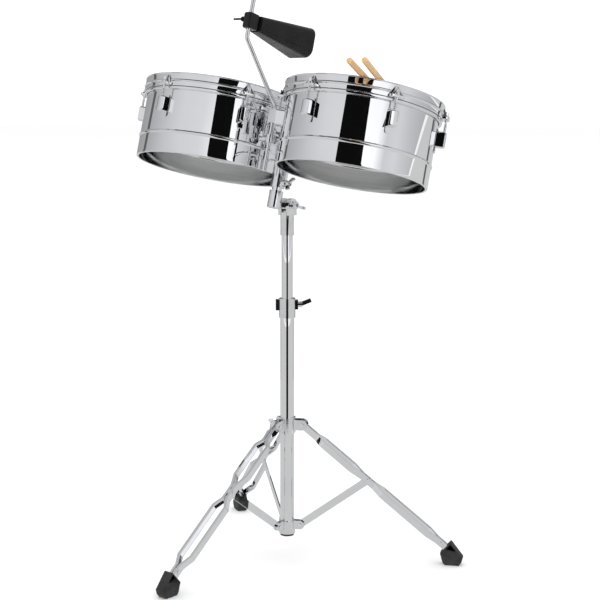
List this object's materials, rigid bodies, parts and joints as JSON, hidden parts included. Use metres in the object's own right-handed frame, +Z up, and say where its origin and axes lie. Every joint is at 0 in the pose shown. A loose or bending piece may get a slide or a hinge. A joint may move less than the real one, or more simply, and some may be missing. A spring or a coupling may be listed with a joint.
{
  "type": "timbales",
  "caption": "Pair of shallow open-bottomed metal drums with a cowbell and sticks, on a height-adjustable, tilting, folding tripod stand.",
  "frame": {"origin": "on the column's axis at floor level", "axes": "+Z up along the column, +X from the column to the thirteen inch drum, +Y from the column to the player"},
  "size_m": [0.7818, 0.6217, 1.2971],
  "materials": {
    "chrome": "polished chrome plate on steel and zinc",
    "plain_steel": "zinc-plated steel",
    "black_paint": "satin black enamel on steel",
    "skin": "white coated polyester film",
    "rubber": "moulded black rubber",
    "nylon": "black nylon",
    "wood": "clear-lacquered hickory"
  },
  "bodies": {
    "stand_base": {"base_tube": "chrome", "base_tube_plug": "rubber", "lower_leg_collar": "chrome", "strut_hinge_pins": "chrome", "height_clamp": "chrome", "height_clamp_bushing": "nylon"},
    "leg_collar": {"upper_leg_collar": "chrome", "leg_hinge_pins": "chrome"},
    "collar_bolt": {"collar_wing_bolt": "chrome"},
    "height_lever": {"height_clamp_lever": "chrome"},
    "upper_stand": {"upper_tube": "chrome"},
    "tilter": {"tilter_base": "chrome", "tilter_bolt": "chrome"},
    "tilter_nut": {"tilter_wing_nut": "chrome"},
    "deck_arm": {"tilter_arm": "chrome", "post": "chrome"},
    "mount": {"mount_casting": "chrome", "rod_holder": "chrome"},
    "mount_bolt": {"mount_wing_bolt": "chrome"},
    "rod_bolt": {"rod_eye_wing_bolt": "chrome"},
    "accessory_rod": {"cowbell_rod": "chrome"},
    "cowbell": {"cowbell": "black_paint", "cowbell_clamp": "black_paint"},
    "cowbell_bolt": {"cowbell_wing_bolt": "black_paint"},
    "front_leg": {"front_leg_outer_rail": "chrome", "front_leg_inner_rail": "chrome", "front_leg_rivets": "chrome", "front_leg_foot": "rubber"},
    "front_strut": {"front_leg_strut": "chrome"},
    "right_leg": {"right_leg_outer_rail": "chrome", "right_leg_inner_rail": "chrome", "right_leg_rivets": "chrome", "right_leg_foot": "rubber"},
    "right_strut": {"right_leg_strut": "chrome"},
    "left_leg": {"left_leg_outer_rail": "chrome", "left_leg_inner_rail": "chrome", "left_leg_rivets": "chrome", "left_leg_foot": "rubber"},
    "left_strut": {"left_leg_strut": "chrome"},
    "right_drum": {"right_drum_shell": "chrome", "right_drum_head": "skin", "right_drum_flesh_hoop": "plain_steel", "right_drum_hoop": "chrome", "right_drum_lugs": "chrome", "right_drum_tension_rods": "chrome", "right_drum_rod_washers": "chrome", "right_drum_bracket": "chrome"},
    "left_drum": {"left_drum_shell": "chrome", "left_drum_head": "skin", "left_drum_flesh_hoop": "plain_steel", "left_drum_hoop": "chrome", "left_drum_lugs": "chrome", "left_drum_tension_rods": "chrome", "left_drum_rod_washers": "chrome", "left_drum_bracket": "chrome"},
    "left_stick": {"left_stick": "wood"},
    "right_stick": {"right_stick": "wood"}
  },
  "joints": [
    {"name": "leg_collar_slide", "type": "slide", "parent": "stand_base", "child": "leg_collar", "axis": [0, 0, 1], "range_m": [0, 0.105]},
    {"name": "front_leg_fold", "type": "hinge", "parent": "leg_collar", "child": "front_leg", "pos_m": [0, -0.036, 0.309], "axis": [1, 0, 0], "range_deg": [-0.5, 23.75]},
    {"name": "front_strut_fold", "type": "hinge", "parent": "stand_base", "child": "front_strut", "pos_m": [0, -0.031, 0.072], "axis": [-1, 0, 0], "range_deg": [-0.5, 24.93]},
    {"name": "right_leg_fold", "type": "hinge", "parent": "leg_collar", "child": "right_leg", "pos_m": [0.03118, 0.018, 0.309], "axis": [-0.5, 0.866, 0], "range_deg": [-0.5, 23.75]},
    {"name": "right_strut_fold", "type": "hinge", "parent": "stand_base", "child": "right_strut", "pos_m": [0.02685, 0.0155, 0.072], "axis": [0.5, -0.866, 0], "range_deg": [-0.5, 24.93]},
    {"name": "left_leg_fold", "type": "hinge", "parent": "leg_collar", "child": "left_leg", "pos_m": [-0.03118, 0.018, 0.309], "axis": [-0.5, -0.866, 0], "range_deg": [-0.5, 23.75]},
    {"name": "left_strut_fold", "type": "hinge", "parent": "stand_base", "child": "left_strut", "pos_m": [-0.02685, 0.0155, 0.072], "axis": [0.5, 0.866, 0], "range_deg": [-0.5, 24.93]},
    {"name": "collar_bolt_turn", "type": "hinge", "parent": "leg_collar", "child": "collar_bolt", "pos_m": [-0.02598, -0.015, 0.3], "axis": [-0.866, -0.5, 0], "continuous": true},
    {"name": "height_lever_turn", "type": "hinge", "parent": "stand_base", "child": "height_lever", "pos_m": [0.01895, 0.01676, 0.5865], "axis": [0.749, 0.6626, 0], "range_deg": [-90, 90]},
    {"name": "height_slide", "type": "slide", "parent": "stand_base", "child": "upper_stand", "axis": [0, 0, 1], "range_m": [-0.13, 0.15]},
    {"name": "column_swivel", "type": "hinge", "parent": "upper_stand", "child": "tilter", "pos_m": [0, 0, 0.77], "axis": [0, 0, 1], "continuous": true},
    {"name": "deck_tilt", "type": "hinge", "parent": "tilter", "child": "deck_arm", "pos_m": [0, 0, 0.813], "axis": [1, 0, 0], "range_deg": [-25, 15.2]},
    {"name": "tilter_nut_turn", "type": "hinge", "parent": "tilter", "child": "tilter_nut", "pos_m": [0.025, 0, 0.813], "axis": [1, 0, 0], "continuous": true},
    {"name": "mount_height", "type": "slide", "parent": "deck_arm", "child": "mount", "axis": [0, 0.2622, 0.965], "range_m": [-0.006, 0.03]},
    {"name": "mount_bolt_turn", "type": "hinge", "parent": "mount", "child": "mount_bolt", "pos_m": [0.03, -0.03101, 0.86287], "axis": [1, 0, 0], "continuous": true},
    {"name": "rod_bolt_turn", "type": "hinge", "parent": "mount", "child": "rod_bolt", "pos_m": [-0.025, -0.05812, 0.96143], "axis": [-1, 0, 0], "continuous": true},
    {"name": "right_drum_lift", "type": "slide", "parent": "mount", "child": "right_drum", "axis": [0, 0.2622, 0.965], "range_m": [0, 0.08]},
    {"name": "left_drum_lift", "type": "slide", "parent": "mount", "child": "left_drum", "axis": [0, 0.2622, 0.965], "range_m": [0, 0.08]},
    {"name": "rod_slide", "type": "slide", "parent": "mount", "child": "accessory_rod", "axis": [0, 0.2622, 0.965], "range_m": [0, 0.05]},
    {"name": "cowbell_turn", "type": "hinge", "parent": "accessory_rod", "child": "cowbell", "pos_m": [0, -0.12089, 1.21475], "axis": [0, 0.2622, 0.965], "range_deg": [-60, 60]},
    {"name": "cowbell_bolt_turn", "type": "hinge", "parent": "cowbell", "child": "cowbell_bolt", "pos_m": [-0.018, -0.11958, 1.21958], "axis": [-1, 0, 0], "continuous": true},
    {"name": "left_stick_lift", "type": "slide", "parent": "right_drum", "child": "left_stick", "axis": [0, 0.2622, 0.965], "range_m": [0, 0.06]},
    {"name": "right_stick_lift", "type": "slide", "parent": "right_drum", "child": "right_stick", "axis": [0, 0.2622, 0.965], "range_m": [0, 0.06]}
  ],
  "couplings": [
    {"joint": "front_leg_fold", "follows": "leg_collar_slide", "rad_per_m": 3.8655},
    {"joint": "front_strut_fold", "follows": "leg_collar_slide", "rad_per_m": 4.06},
    {"joint": "right_leg_fold", "follows": "leg_collar_slide", "rad_per_m": 3.8655},
    {"joint": "right_strut_fold", "follows": "leg_collar_slide", "rad_per_m": 4.06},
    {"joint": "left_leg_fold", "follows": "leg_collar_slide", "rad_per_m": 3.8655},
    {"joint": "left_strut_fold", "follows": "leg_collar_slide", "rad_per_m": 4.06}
  ]
}
